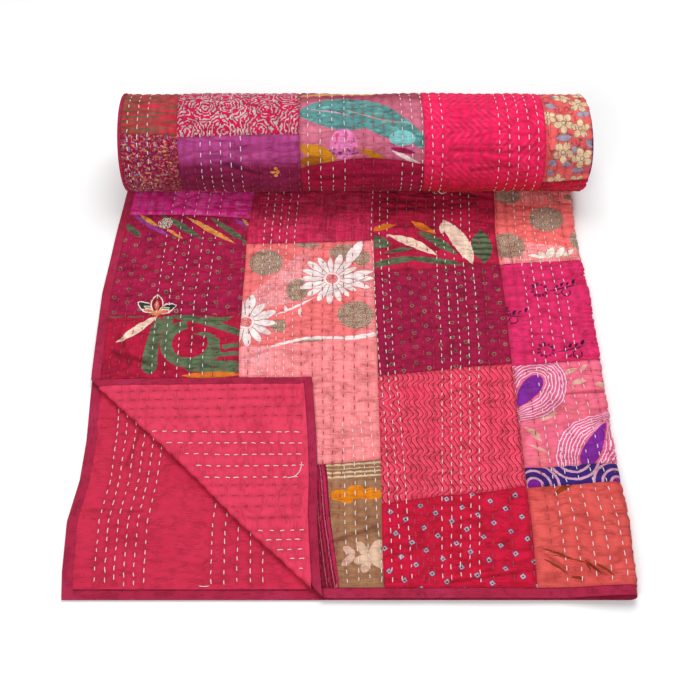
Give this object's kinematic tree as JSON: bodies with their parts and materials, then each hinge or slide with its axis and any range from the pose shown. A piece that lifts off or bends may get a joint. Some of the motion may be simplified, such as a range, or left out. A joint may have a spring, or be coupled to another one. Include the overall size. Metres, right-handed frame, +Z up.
{
  "type": "patchwork kantha quilt",
  "caption": "Patchwork kantha quilt folded in half, part rolled from its far end, with its near corner turned back over the flat part.",
  "frame": {"origin": "middle of the underside of the quilt's outline, on the surface it lies on", "axes": "+Z up, -Y towards the flat front edge, +Y towards the roll, +X towards the folded side"},
  "size_m": [0.7816, 0.8501, 0.1705],
  "materials": {
    "patchwork": "printed cotton and sari silk patches, puckered by rows of stitching",
    "backing": "plain raspberry cotton, puckered by the same stitching",
    "binding": "plain plum cotton strip with a slight sheen"
  },
  "bodies": {
    "root": {"patchwork_top": "patchwork", "backing": "backing", "binding_end": "binding", "binding_side_lower": "binding", "binding_side_upper": "binding"}
  },
  "joints": []
}
